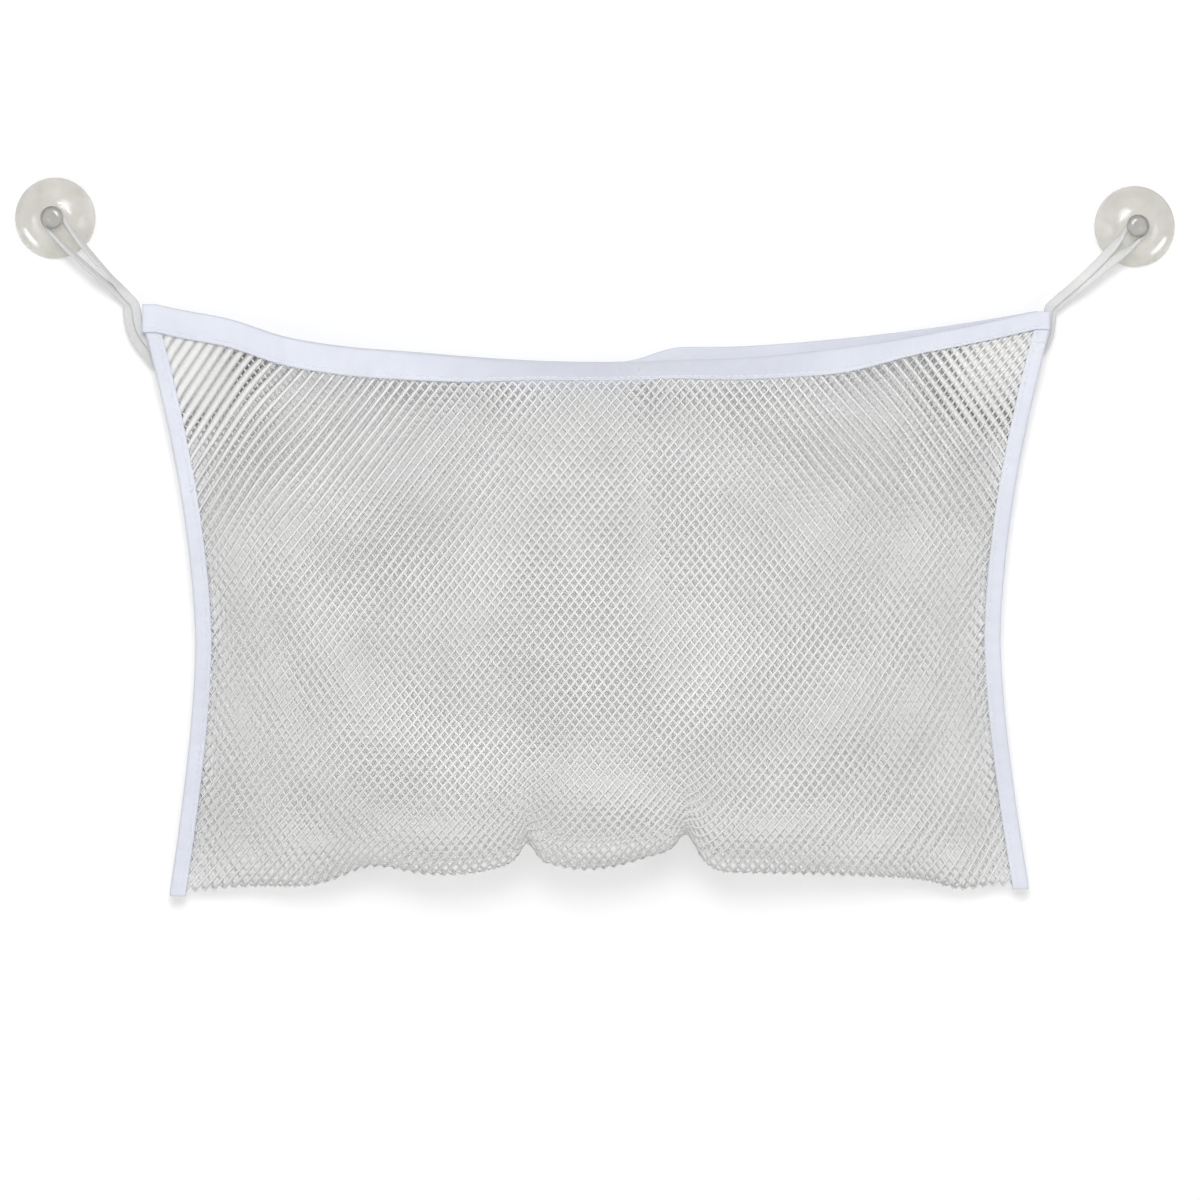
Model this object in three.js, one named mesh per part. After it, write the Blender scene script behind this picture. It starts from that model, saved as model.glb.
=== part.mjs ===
// A net bag for bath toys, hung on a wall by two suction cups, in millimetres.
// +Z is up, the wall is the plane y = 0, and the bag lies in front of it at negative y.
// The origin is on the wall, midway between the two cups.
import * as THREE from 'three';

// Clearance that pieces which touch on the real bag keep from each other.
const clearance = 0.3;

// Suction cups.
const cupSpacing = 538;
const cupDiameter = 40;
const rimWidth = 3.2;
const rimEdge = 1.1;
const hollowDepth = 2.4;
const domeHeight = 8.2;
const domePower = 1.6;
const shoulderDiameter = 14;
const neckDiameter = 7.2;
const headDiameter = 11.4;
const headHeight = 4.8;
const headEdge = 1.2;
const cupSegments = 32;
const hollowSteps = 4;
const domeSteps = 10;
const headSteps = 6;

// Hanging loops of flattened cord, and the tails that are sewn to the bag.
const cordWidth = 4.6;
const cordThickness = 2;
const loopPinch = 0.6;
const tailLength = 50;
const tailTurn = 26;
const loopArcSteps = 12;
const loopRunSteps = 6;
const cordSides = 10;
const pivotOutset = 8;
const pivotRise = 3.5;

// Bag outline in the front view, measured at the outer edge of the bindings.
const cornerHalfWidth = 228;
const cornerDrop = 42.5;
const waistHalfWidth = 201;
const waistDrop = 166;
const baseHalfWidth = 213;
const bagHeight = 291;
const frontSag = 27;
const backSag = 21;
const baseRise = 11;
const notchDepth = 12;
const notchOffset = 40;
const notchWidth = 9;

// Powers that shape the outline and the swell of the sheets.
const flarePower = 1.7;
const skirtPower = 1.5;
const bellyRise = 1.2;
const bellyFall = 0.6;
const bowPower = 1.5;
const crownPower = 4;
const tuckPower = 6;
const edgePower = 8;

// How far the net stands out from the plane of the side bindings.
const mouthDepth = 25;
const bellyDepth = 60;
const foldDepth = 22;
const backLean = 6;

// Tapes and net.
const tapeThickness = 0.6;
const netThickness = 0.7;
const bandHeight = 14;
const bindingWidth = 8.25;
const netLead = 1.5;
const foldHem = 3;
const netColumns = 40;
const netRows = 20;
const bindingSteps = 16;
const barEndSteps = 6;

// Sewing thread.
const threadDiameter = 0.8;
const threadSides = 6;
const tackLength = 7;
const tackWidth = 2.2;
const tackThickness = 0.9;
const seamInset = 2.4;

// Sizes that follow from the ones above.
const slotWidth = netThickness + 2 * clearance;
const bandThickness = slotWidth + 2 * tapeThickness;
const sideSpread = (bandThickness + clearance) / 2;
const foldSpread = (netThickness + clearance) / 2;
const bindingSlot = 2 * sideSpread + slotWidth;
const bindingThickness = bindingSlot + 2 * tapeThickness;
const neckLength = cordWidth + 2 * clearance;
const tailWidth = 2 * cordWidth;
const tailThickness = cordThickness;
const loopY = -(domeHeight + neckLength / 2);
const sideY = loopY + cordWidth / 2 - bindingThickness / 2;
const tailFrontY = sideY + bindingThickness / 2 + clearance;
const cornerZ = -cornerDrop;
const bindingTop = cornerZ - bandHeight - clearance;
const tackZ = bindingTop - tackWidth;
const pivotX = cornerHalfWidth + pivotOutset;
const pivotZ = cornerZ + pivotRise;
const borderWidth = bindingWidth + netLead - tapeThickness - clearance;
const borderHeight = bandHeight + netLead - tapeThickness - clearance;

// Half width of the bag at height z: widest at the corners, drawn in at the waist.
function halfWidth(z) {
  const below = Math.min(Math.max(cornerZ - z, 0), bagHeight);
  if (below < waistDrop) {
    const flare = Math.pow((waistDrop - below) / waistDrop, flarePower);
    return waistHalfWidth + (cornerHalfWidth - waistHalfWidth) * flare;
  }
  const spread = Math.pow((below - waistDrop) / (bagHeight - waistDrop), skirtPower);
  return waistHalfWidth + (baseHalfWidth - waistHalfWidth) * spread;
}

// The bottom edge rises in the middle.
function baseZ(u) {
  return cornerZ - bagHeight + baseRise * (1 - u * u);
}

// Rise of the two notches that part the bottom edge into three lobes.
function notch(u) {
  const x = u * baseHalfWidth;
  const left = Math.exp(-Math.pow((x + notchOffset) / notchWidth, 2));
  const right = Math.exp(-Math.pow((x - notchOffset) / notchWidth, 2));
  return notchDepth * (left + right);
}

// Belly over the height, from 0 at the mouth through 1 at its peak to 0 at the fold.
function belly(v) {
  const peak = bellyRise / (bellyRise + bellyFall);
  return Math.pow(v / peak, bellyRise) * Math.pow((1 - v) / (1 - peak), bellyFall);
}

// Bow across the width, and how far the two sheets part towards the side bindings.
function bow(u) {
  return Math.pow(1 - u * u, bowPower);
}

function parting(u) {
  return foldSpread + (sideSpread - foldSpread) * Math.pow(u, edgePower);
}

// Each panel gives the height of its mouth edge and the y of its sheet.
const frontPanel = {
  mouthZ: (u) => cornerZ - frontSag * (1 - u * u),
  sheetY: (u, v) => {
    const frame = mouthDepth * (1 - v) + foldDepth * v;
    const swell = bellyDepth * (1 - Math.pow(u, crownPower)) * belly(v);
    return sideY - frame * bow(u) - swell - parting(u);
  },
};
const backPanel = {
  mouthZ: (u) => cornerZ - backSag * (1 - u * u),
  sheetY: (u, v) => {
    const tuck = Math.pow(v, tuckPower);
    return sideY + (backLean * (1 - tuck) - foldDepth * tuck) * bow(u) + parting(u);
  },
};

// Point of a panel's sheet. The net fills u from -1 to 1 and v from 0 to 1;
// the selvages inside the tapes run on to u = -2 and 2, v = -1 and 2.
function sheetPoint(panel, u, v) {
  const across = Math.min(Math.max(u, -1), 1);
  const down = Math.min(Math.max(v, 0), 1);
  const top = panel.mouthZ(across) - bandHeight - netLead;
  const bottom = baseZ(across) + foldHem;
  let z = top + (bottom - top) * down;
  const x = across * (halfWidth(z) - bindingWidth - netLead) + (u - across) * borderWidth;
  z += notch(across) * Math.pow(down, edgePower);
  z += v < 0 ? -v * borderHeight : (down - v) * foldHem;
  return new THREE.Vector3(x, panel.sheetY(across, down), z);
}

function solidFrom(positions, triangles) {
  const geometry = new THREE.BufferGeometry();
  geometry.setAttribute('position', new THREE.Float32BufferAttribute(positions, 3));
  geometry.setIndex(triangles);
  return geometry;
}

function evenStops(from, to, steps) {
  return Array.from({ length: steps + 1 }, (_, i) => from + (to - from) * i / steps);
}

// A flat pattern of a panel in u and v: even steps over the net, and a selvage on each edge.
function sheetPattern(acrossStops, downStops) {
  const points = [];
  const faces = [];
  for (const v of downStops) {
    for (const u of acrossStops) points.push([u, v]);
  }
  const width = acrossStops.length;
  for (let row = 1; row < downStops.length; row++) {
    for (let column = 1; column < width; column++) {
      const lowerRight = row * width + column;
      const upperRight = lowerRight - width;
      faces.push([upperRight - 1, lowerRight - 1, lowerRight]);
      faces.push([upperRight - 1, lowerRight, upperRight]);
    }
  }
  return { points, faces };
}

// The pattern laid on a panel's sheet, with a front face, a back face and walls round its edge.
function netSolid(panel, pattern) {
  const positions = [];
  const count = pattern.points.length;
  for (const side of [-1, 1]) {
    for (const [u, v] of pattern.points) {
      const place = sheetPoint(panel, u, v);
      positions.push(place.x, place.y + side * netThickness / 2, place.z);
    }
  }
  const triangles = [];
  const edges = new Set();
  for (const [a, b, c] of pattern.faces) {
    triangles.push(a, b, c, a + count, c + count, b + count);
    for (const [from, to] of [[a, b], [b, c], [c, a]]) {
      if (!edges.delete(`${to} ${from}`)) edges.add(`${from} ${to}`);
    }
  }
  for (const edge of edges) {
    const [from, to] = edge.split(' ').map(Number);
    triangles.push(from, from + count, to + count, from, to + count, to);
  }
  return solidFrom(positions, triangles);
}

// Carries a closed profile along stations; each station has an origin and two axes.
function sweep(stations, profile, ring) {
  const positions = [];
  const triangles = [];
  const sides = profile.length;
  for (const { origin, across, along } of stations) {
    for (const corner of profile) {
      const place = origin.clone().addScaledVector(across, corner.x).addScaledVector(along, corner.y);
      positions.push(place.x, place.y, place.z);
    }
  }
  const steps = ring ? stations.length : stations.length - 1;
  for (let i = 0; i < steps; i++) {
    const near = i * sides;
    const far = ((i + 1) % stations.length) * sides;
    for (let k = 0; k < sides; k++) {
      const next = (k + 1) % sides;
      triangles.push(near + k, far + k, far + next, near + k, far + next, near + next);
    }
  }
  if (!ring) {
    const last = (stations.length - 1) * sides;
    for (const [a, b, c] of THREE.ShapeUtils.triangulateShape(profile, [])) {
      triangles.push(a, b, c, last + a, last + c, last + b);
    }
  }
  return solidFrom(positions, triangles);
}

// Section of a tape folded in two, with the fold at y = 0 and the slot open at y = depth.
function foldedTape(thickness, slot, depth) {
  const outer = thickness / 2;
  const inner = slot / 2;
  return [
    new THREE.Vector2(-outer, 0),
    new THREE.Vector2(outer, 0),
    new THREE.Vector2(outer, depth),
    new THREE.Vector2(inner, depth),
    new THREE.Vector2(inner, tapeThickness),
    new THREE.Vector2(-inner, tapeThickness),
    new THREE.Vector2(-inner, depth),
    new THREE.Vector2(-outer, depth),
  ];
}

function oval(width, height, sides) {
  const profile = [];
  for (let k = 0; k < sides; k++) {
    const angle = 2 * Math.PI * (k + 0.5) / sides;
    profile.push(new THREE.Vector2(Math.cos(angle) * width / 2, Math.sin(angle) * height / 2));
  }
  return profile;
}

// Stations along a mouth edge from left to right, square to the edge as seen from above.
function mouthStations(panel, stops) {
  const points = stops.map((u) => {
    const across = Math.min(Math.max(u, -1), 1);
    const place = sheetPoint(panel, u, -1);
    if (Math.abs(u) > 1) place.x = Math.sign(u) * cornerHalfWidth;
    place.z = panel.mouthZ(across);
    return place;
  });
  return points.map((origin, i) => {
    const before = points[Math.max(i - 1, 0)];
    const after = points[Math.min(i + 1, points.length - 1)];
    const run = new THREE.Vector2(after.x - before.x, after.y - before.y).normalize();
    const across = new THREE.Vector3(-run.y, run.x, 0);
    return { origin, across, along: new THREE.Vector3(0, 0, -1) };
  });
}

// Level stations down a side of the bag from a given height; side is -1 on the left and 1 on the right.
function sideStations(side, top) {
  const bottom = cornerZ - bagHeight;
  const across = new THREE.Vector3(0, side, 0);
  const along = new THREE.Vector3(-side, 0, 0);
  const stations = [];
  for (let i = 0; i <= bindingSteps; i++) {
    const z = top + (bottom - top) * i / bindingSteps;
    stations.push({ origin: new THREE.Vector3(side * halfWidth(z), sideY, z), across, along });
  }
  return stations;
}

// The same stations moved by fixed amounts along their own axes, for a row of sewing.
function shifted(stations, acrossBy, alongBy) {
  return stations.map(({ origin, across, along }) => ({
    origin: origin.clone().addScaledVector(across, acrossBy).addScaledVector(along, alongBy),
    across,
    along,
  }));
}

function folded(stations, thickness, slot, depth) {
  return sweep(stations, foldedTape(thickness, slot, depth), false);
}

// A row of sewing on the face of a tape, inset from the tape's open edge;
// face is the sign of that face along the across axis.
function seam(stations, thickness, depth, face) {
  const lift = face * (thickness / 2 + clearance + threadDiameter / 2);
  const thread = oval(threadDiameter, threadDiameter, threadSides);
  return sweep(shifted(stations, lift, depth - seamInset), thread, false);
}

// The hanging loop is a belt round the neck of its cup and round its pivot at the bag's corner.
function loopSolid(side) {
  const neckRadius = neckDiameter / 2 + clearance + cordThickness / 2;
  const pivotRadius = (loopPinch + cordThickness) / 2;
  const pivot = new THREE.Vector3(side * pivotX, loopY, pivotZ);
  const reach = new THREE.Vector3(side * cupSpacing / 2 - pivot.x, 0, -pivotZ);
  const length = reach.length();
  const forward = reach.clone().normalize();
  const aside = new THREE.Vector3(forward.z, 0, -forward.x);
  const lean = Math.asin((neckRadius - pivotRadius) / length);
  const stations = [];

  function station(distance, radius, angle) {
    const out = forward.clone().multiplyScalar(Math.cos(angle)).addScaledVector(aside, Math.sin(angle));
    const origin = pivot.clone().addScaledVector(forward, distance).addScaledVector(out, radius);
    stations.push({ origin, across: out, along: new THREE.Vector3(0, 1, 0) });
  }

  for (let i = 0; i <= loopArcSteps; i++) {
    const share = 2 * i / loopArcSteps - 1;
    station(length, neckRadius, share * (Math.PI / 2 + lean));
  }
  for (let i = 1; i < loopRunSteps; i++) {
    const share = i / loopRunSteps;
    const radius = neckRadius + (pivotRadius - neckRadius) * share;
    station(length * (1 - share), radius, Math.PI / 2 + lean);
  }
  for (let i = 0; i <= loopArcSteps; i++) {
    const share = i / loopArcSteps;
    const start = Math.PI / 2 + lean;
    station(0, pivotRadius, start + share * 2 * (Math.PI - start));
  }
  for (let i = 1; i < loopRunSteps; i++) {
    const share = i / loopRunSteps;
    const radius = pivotRadius + (neckRadius - pivotRadius) * share;
    station(length * share, radius, -Math.PI / 2 - lean);
  }
  return sweep(stations, oval(cordThickness, cordWidth, cordSides), true);
}

// A flat bar with round ends, extruded towards the viewer from the plane of its back face.
function roundedBar(length, width, thickness) {
  const radius = width / 2;
  const half = length / 2 - radius;
  const shape = new THREE.Shape();
  shape.moveTo(-half, -radius);
  shape.lineTo(half, -radius);
  shape.absarc(half, 0, radius, -Math.PI / 2, Math.PI / 2, false);
  shape.lineTo(-half, radius);
  shape.absarc(-half, 0, radius, Math.PI / 2, 3 * Math.PI / 2, false);
  const options = { depth: thickness, bevelEnabled: false, curveSegments: barEndSteps };
  return new THREE.ExtrudeGeometry(shape, options).rotateX(Math.PI / 2);
}

// Cup profile from the middle of the hollow, out to the rim, over the dome, up the neck and the head.
function cupSolid() {
  const rim = cupDiameter / 2;
  const shoulder = shoulderDiameter / 2;
  const neck = neckDiameter / 2;
  const head = headDiameter / 2;
  const neckTop = domeHeight + neckLength;
  const top = neckTop + headHeight;
  const profile = [new THREE.Vector2(0, -hollowDepth)];
  for (let i = 1; i <= hollowSteps; i++) {
    const share = i / hollowSteps;
    profile.push(new THREE.Vector2((rim - rimWidth) * share, -hollowDepth * (1 - share * share)));
  }
  profile.push(new THREE.Vector2(rim, 0));
  for (let i = 0; i <= domeSteps; i++) {
    const share = 1 - i / domeSteps;
    const height = rimEdge + (domeHeight - rimEdge) * (1 - Math.pow(share, domePower));
    profile.push(new THREE.Vector2(shoulder + (rim - shoulder) * share, -height));
  }
  profile.push(new THREE.Vector2(neck, -domeHeight));
  profile.push(new THREE.Vector2(neck, -neckTop));
  for (let i = 0; i <= headSteps; i++) {
    const turn = Math.PI / 2 * i / headSteps;
    const radius = head * Math.sqrt(Math.cos(turn));
    const height = neckTop + headEdge + (headHeight - headEdge) * Math.sin(turn);
    if (i === 0) profile.push(new THREE.Vector2(radius, -neckTop));
    profile.push(new THREE.Vector2(i === headSteps ? 0 : radius, i === headSteps ? -top : -height));
  }
  return new THREE.LatheGeometry(profile.reverse(), cupSegments);
}

const organizer = new THREE.Group();
organizer.name = 'bath_toy_organizer';

function place(name, geometry, look, parent = organizer) {
  const mesh = new THREE.Mesh(geometry, new THREE.MeshStandardMaterial(look));
  mesh.name = name;
  parent.add(mesh);
  return mesh;
}

const netLook = { color: 0xe4e4e2, roughness: 0.85, metalness: 0 };
const tapeLook = { color: 0xdde1ee, roughness: 0.8, metalness: 0 };
const cordLook = { color: 0xcfd1cf, roughness: 0.8, metalness: 0 };
const threadLook = { color: 0xeef0f4, roughness: 0.7, metalness: 0 };
const cupLook = { color: 0xcfccc4, roughness: 0.15, metalness: 0, transparent: true, opacity: 0.7 };

const mouthStops = [-2, ...evenStops(-1, 1, netColumns), 2];
const pattern = sheetPattern(mouthStops, [-1, ...evenStops(0, 1, netRows), 2]);
for (const [name, panel, face] of [['front', frontPanel, -1], ['back', backPanel, 1]]) {
  const stations = mouthStations(panel, mouthStops);
  place(`${name}_net`, netSolid(panel, pattern), netLook);
  place(`${name}_mouth_band`, folded(stations, bandThickness, slotWidth, bandHeight), tapeLook);
  const sewn = stations.slice(1, -1);
  place(`${name}_mouth_seam`, seam(sewn, bandThickness, bandHeight, face), threadLook);
}

for (const [name, side] of [['left', -1], ['right', 1]]) {
  const bindingStations = sideStations(side, bindingTop);
  const binding = folded(bindingStations, bindingThickness, bindingSlot, bindingWidth);
  place(`${name}_side_binding`, binding, tapeLook);
  const seamStations = sideStations(side, tackZ - tackWidth / 2 - clearance);
  place(`${name}_side_seam`, seam(seamStations, bindingThickness, bindingWidth, -side), threadLook);
  place(`${name}_hanging_loop`, loopSolid(side), cordLook);
  place(`${name}_suction_cup`, cupSolid(), cupLook).position.set(side * cupSpacing / 2, 0, 0);

  const tail = new THREE.Group();
  tail.position.set(side * pivotX, tailFrontY + tailThickness, pivotZ);
  tail.rotation.y = Math.PI / 2 + side * tailTurn * Math.PI / 180;
  organizer.add(tail);
  const strip = place(`${name}_loop_tail`, roundedBar(tailLength, tailWidth, tailThickness), cordLook, tail);
  strip.position.x = (tailLength - tailWidth) / 2;

  const tack = roundedBar(tackLength, tackWidth, tackThickness);
  const tackMesh = place(`${name}_bar_tack`, tack, threadLook);
  const tackX = halfWidth(tackZ) - bindingWidth / 2;
  tackMesh.position.set(side * tackX, sideY - bindingThickness / 2 - clearance, tackZ);
}

export default organizer;
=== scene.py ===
import bpy
import math
import numpy as np
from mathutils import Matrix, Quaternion, Vector


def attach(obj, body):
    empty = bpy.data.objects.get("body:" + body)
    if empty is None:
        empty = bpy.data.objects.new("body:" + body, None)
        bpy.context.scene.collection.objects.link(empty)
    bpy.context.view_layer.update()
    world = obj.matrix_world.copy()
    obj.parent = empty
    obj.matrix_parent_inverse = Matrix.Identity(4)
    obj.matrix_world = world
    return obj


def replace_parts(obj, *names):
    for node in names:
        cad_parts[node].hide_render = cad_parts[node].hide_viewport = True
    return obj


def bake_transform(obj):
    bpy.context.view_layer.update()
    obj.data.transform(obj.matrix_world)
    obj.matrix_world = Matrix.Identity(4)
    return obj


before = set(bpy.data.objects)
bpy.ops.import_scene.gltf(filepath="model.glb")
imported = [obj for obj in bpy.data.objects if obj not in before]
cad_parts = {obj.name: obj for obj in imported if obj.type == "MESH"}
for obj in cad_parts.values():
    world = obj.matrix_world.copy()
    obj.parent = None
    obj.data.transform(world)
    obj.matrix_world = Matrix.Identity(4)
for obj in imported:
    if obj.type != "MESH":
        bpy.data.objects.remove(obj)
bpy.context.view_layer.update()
print("frame loaded")

mm = 0.001

# sizes of the bag in millimetres, the same as those of its solids
bag = {
    "cornerHalf": 228.0, "cornerZ": -42.5,  # top corners: half their distance, and their height
    "waistHalf": 201.0, "waistDrop": 166.0,  # the narrowest place, and its drop below the corners
    "baseHalf": 213.0, "height": 291.0,  # bottom corners, and their drop
    "topPower": 1.7, "basePower": 1.5,  # how the sides curve, from the waist up and down
    "bowPower": 1.5, "bellyPowers": (1.2, 0.6),  # how the depths fade to the sides, mouth and fold
    "frontSag": 27.0, "backSag": 21.0, "baseRise": 11.0,  # bows of the mouth's two edges and the bottom edge
    "mouth": 25.0, "belly": 60.0, "bellyAt": 2 / 3, "fold": 22.0, "backLean": 6.0,  # depths from the sides
    "bandHeight": 14.0, "bindingWidth": 8.25, "lead": 1.5,  # lead: from the binding to the panel's edge
    "sideY": -11.15, "loopY": -10.8, "cupX": 269.0, "neck": 3.6,  # neck: the radius that the loops go round
}


# a new object in the scene, at the origin
def addObject(name, data):
    obj = bpy.data.objects.new(name, data)
    bpy.context.scene.collection.objects.link(obj)
    return obj


# a mesh from whole arrays in millimetres. Fans of triangles give its volume, and where that is negative
# all faces are turned over.
def addMesh(name, verts, faceSets, uv):
    co = verts * mm
    volume = 0.0
    for faces in faceSets:
        for k in range(1, faces.shape[1] - 1):
            a, b, c = co[faces[:, 0]], co[faces[:, k]], co[faces[:, k + 1]]
            volume += float(np.einsum("ij,ij->i", a, np.cross(b, c)).sum())
    order = -1 if volume < 0 else 1
    mesh = bpy.data.meshes.new(name)
    mesh.from_pydata(co.tolist(), [], [face for faces in faceSets for face in faces[:, ::order].tolist()])
    mesh.polygons.foreach_set("use_smooth", np.ones(len(mesh.polygons), bool))
    layer = mesh.uv_layers.new(name="uv")
    corner = np.zeros(len(mesh.loops), np.int32)
    mesh.loops.foreach_get("vertex_index", corner)
    layer.data.foreach_set("uv", np.asarray(uv, np.float32)[corner].ravel())
    mesh.update()
    return addObject(name, mesh)


# four-sided faces between neighbouring rows of point numbers, where each row is a closed ring
def ringQuads(grid):
    a, b = grid[:-1], grid[1:]
    return np.stack([a, np.roll(a, -1, 1), np.roll(b, -1, 1), b], -1).reshape(-1, 4)


# running length of a line of points
def lengthAlong(line):
    return np.concatenate([[0], np.cumsum(np.linalg.norm(np.diff(line, axis=0), axis=1))])


# a closed section carried along a path, with flat ends: rings is stations by points by xyz.
# The map runs along the path and round the section, in metres.
def addLoft(name, rings):
    stations, points = rings.shape[:2]
    grid = np.arange(stations * points).reshape(stations, points)
    along = lengthAlong(rings.mean(1))
    around = np.concatenate([[0], np.cumsum(np.linalg.norm(np.diff(rings, axis=1), axis=2).mean(0))])
    uv = np.stack(np.broadcast_arrays(along[:, None], around[None, :]), -1).reshape(-1, 2) * mm
    return addMesh(name, rings.reshape(-1, 3), [ringQuads(grid), grid[:1, ::-1], grid[-1:]], uv)


# a piece moves with its body and stands for a solid
def dress(obj, body, node):
    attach(obj, body)
    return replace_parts(obj, node)


# vectors brought to length 1
def unit(v):
    return v / np.maximum(np.linalg.norm(v, axis=-1, keepdims=True), 1e-9)


# bell curve of height 1
def bump(x, middle, width):
    return np.exp(-((x - middle) / width) ** 2)


# sum of bell curves, each given by its middle, width and height
def bumps(x, curves):
    return sum(height * bump(x, middle, width) for middle, width, height in curves)


# smooth step from 0 at low to 1 at high
def ease(x, low, high):
    t = np.clip((x - low) / (high - low), 0, 1)
    return t * t * (3 - 2 * t)


# how the soft bag departs from its plain solids, in millimetres; spans are shares of the half width, and
# bell curves are (middle, width, height)
slack = {
    "shift": 1.0, "lean": 3.7, "turn": 3.4, "lift": 0.9, "baseSpread": 2.3, "hemOver": 2.5,
    "mouthWaves": [(-192.0, 24.0, 2.0), (-135.0, 30.0, -2.0), (40.0, 22.0, 1.0), (-166.0, 20.0, -1.8)],
    "backStep": 6.0, "backStepSpan": (0.06, 0.2),
    "bandLean": 11.3, "leanLeft": 0.2, "leanSpan": (-0.6, -0.1),
    "bandDraw": 5.0, "drawSpan": (0.52, 0.76), "bandShort": 2.7,
    "notches": [(-37.0, 5.0, 9.0), (-37.0, 19.0, 6.0), (45.0, 5.5, 8.5)],
    "lobes": [(188.0, 14.0, -4.0), (-150.0, 22.0, -2.4), (-118.0, 20.0, 6.0)],
    "rightRise": 11.0, "rightRiseAt": 45.0, "rightRiseWidths": (31.0, 11.0),
    "valleys": [(-37.0, 26.0, 5.0), (43.5, 26.0, 5.0)], "valleyPower": 2.2,
    "ripple": 0.8, "rippleAcross": 31.0, "rippleDown": 4.0,
    "apart": 0.5, "apartAtSides": 0.3, "runUp": 250.0,  # panels off their seam, and v's run into the band
}


# the bag hangs a little askew: the lower a point is, the more it moves right and turns up on that side
def hang(p):
    t = np.clip((bag["cornerZ"] - p[..., 2]) / bag["height"], 0, 1)
    rise = slack["lift"] + slack["turn"] * p[..., 0] / bag["baseHalf"]
    return p + np.stack([slack["shift"] + slack["lean"] * t, 0 * t, rise * t], -1)


# half the bag's width at height z: power curves from the waist up to the corners and down to the base
def halfWidth(z):
    below = np.clip(bag["cornerZ"] - z, 0, bag["height"])
    up = np.clip((bag["waistDrop"] - below) / bag["waistDrop"], 0, 1) ** bag["topPower"]
    down = np.clip((below - bag["waistDrop"]) / (bag["height"] - bag["waistDrop"]), 0, 1) ** bag["basePower"]
    top = (bag["cornerHalf"] - bag["waistHalf"]) * up
    base = (bag["baseHalf"] + slack["baseSpread"] - bag["waistHalf"]) * down
    return bag["waistHalf"] + top + base


# height of a mouth edge: a parabola with small waves that die out at the corners. The back edge lies
# behind the front one on the left and steps up right of the middle.
def mouthZ(u, back):
    sag = bag["frontSag"]
    if back:
        sag = bag["backSag"] + slack["backStep"] * (1 - ease(u, *slack["backStepSpan"]))
    wave = bumps(u * bag["cornerHalf"], slack["mouthWaves"])
    return bag["cornerZ"] - sag * (1 - u * u) + wave * (1 - u ** 8)


# bottom edge: the height of a shallow arch, and the rise on it from bell curves for two notches, the lobes
# beside them and a lopsided rise at the right notch
def baseZ(u):
    x = u * bag["baseHalf"]
    arch = bag["cornerZ"] - bag["height"] + bag["baseRise"] * (1 - u * u)
    width = np.where(x < slack["rightRiseAt"], *slack["rightRiseWidths"])
    lopsided = slack["rightRise"] * bump(x, slack["rightRiseAt"], width)
    return arch, bumps(x, slack["notches"]) + bumps(x, slack["lobes"]) + lopsided


# 1 in the middle of the bag and 0 at both sides, by a power of a parabola
def bow(u):
    return np.clip(1 - u * u, 0, 1) ** bag["bowPower"]


# product of two power curves: 0 at the mouth, 1 at the belly, 0 at the fold
def belly(v):
    toMouth, toFold = bag["bellyPowers"]
    return (v / bag["bellyAt"]) ** toMouth * ((1 - v) / (1 - bag["bellyAt"])) ** toFold


# how far the front band's lower edge tips forward: by the bow, and less on the left
def bandLean(u):
    share = slack["leanLeft"] + (1 - slack["leanLeft"]) * ease(u, *slack["leanSpan"])
    return slack["bandLean"] * bow(u) * share


# how far a band hangs: its height, less where it leans and where the right corner draws it up
def bandDrop(u, back):
    drawn = slack["bandDraw"] * ease(u, *slack["drawSpan"])
    if back:
        return bag["bandHeight"] - drawn
    return np.sqrt(bag["bandHeight"] ** 2 - bandLean(u) ** 2) - drawn


# depth of the back panel: it leans to the wall by the bow and tucks forward to the fold
def backDepth(a, d):
    tuck = d ** 6
    return (bag["backLean"] * (1 - tuck) - bag["fold"] * tuck) * bow(a)


# depth of the front panel: the mouth's run down to the fold's, plus the belly, the band's lean dying out
# below it, two soft valleys above the notches and a ripple
def frontDepth(u, a, d):
    y = -(bag["mouth"] * (1 - d) + bag["fold"] * d) * bow(a) - bag["belly"] * (1 - a ** 4) * belly(d)
    y = y - bandLean(a) * (1 - d) ** 3
    y = y + bumps(u * bag["baseHalf"], slack["valleys"]) * np.sin(math.pi * d ** slack["valleyPower"])
    ripple = np.sin(a * slack["rippleAcross"] + d * slack["rippleDown"]) * d * (1 - d) * 4
    return y + slack["ripple"] * bow(a) * ripple


# a panel as a surface over u across, from -1 to 1, and v down, from 0 under the band to 1 at the fold:
# width and height from the curves above, and depth from the side edges.
# Past u of 1 it runs on into the binding, and above v of 0 up into the band.
def panelPoint(u, v, back):
    a = np.clip(u, -1, 1)
    d = np.clip(v, 0, 1)
    height = bandDrop(a, back)
    top = mouthZ(a, back) - height
    base, rise = baseZ(a)
    z = top + (base - top) * d
    x = a * (halfWidth(z) - bag["bindingWidth"] - bag["lead"]) + (u - a) * bag["waistHalf"]
    above = np.clip(-v, 0, 1) * slack["runUp"]
    z = z + rise * d ** 8 + above
    apart = slack["apart"] * (1 - d ** 4) + slack["apartAtSides"] * a ** 8
    if back:
        y = bag["sideY"] + backDepth(a, d) + apart
    else:
        y = bag["sideY"] + frontDepth(u, a, d) - apart + bandLean(a) * np.clip(above / height, 0, 1)
    return hang(np.stack([x, y, z], -1))


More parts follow.
